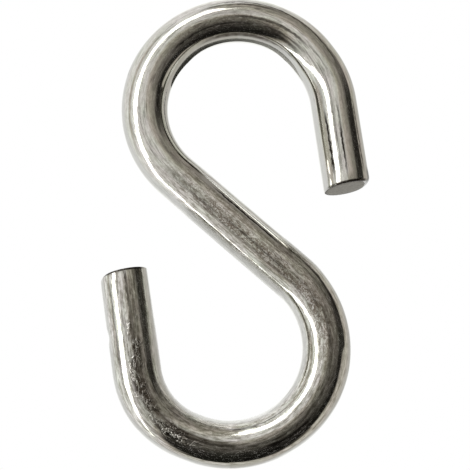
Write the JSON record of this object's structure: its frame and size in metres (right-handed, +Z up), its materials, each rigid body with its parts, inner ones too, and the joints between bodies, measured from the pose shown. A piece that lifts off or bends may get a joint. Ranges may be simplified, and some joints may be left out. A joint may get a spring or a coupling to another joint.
{
  "type": "s hook",
  "caption": "Open S hook bent from one round steel rod, with two round crowns and straight cropped legs; hangs a load from a rail, ring or chain.",
  "frame": {"origin": "rail seat: the highest point of the inside of the upper hook, where the hook hangs on its rail", "axes": "+Z up along the hook, +X towards the side on which the upper hook opens, +Y through the thickness of the rod, away from the viewer who sees an S"},
  "size_m": [0.0281, 0.005, 0.0504],
  "materials": {
    "bright_steel": "bright zinc plated, slightly pitted, with faint drawn lines along the rod"
  },
  "bodies": {
    "root": {"hook": "bright_steel"}
  },
  "joints": []
}
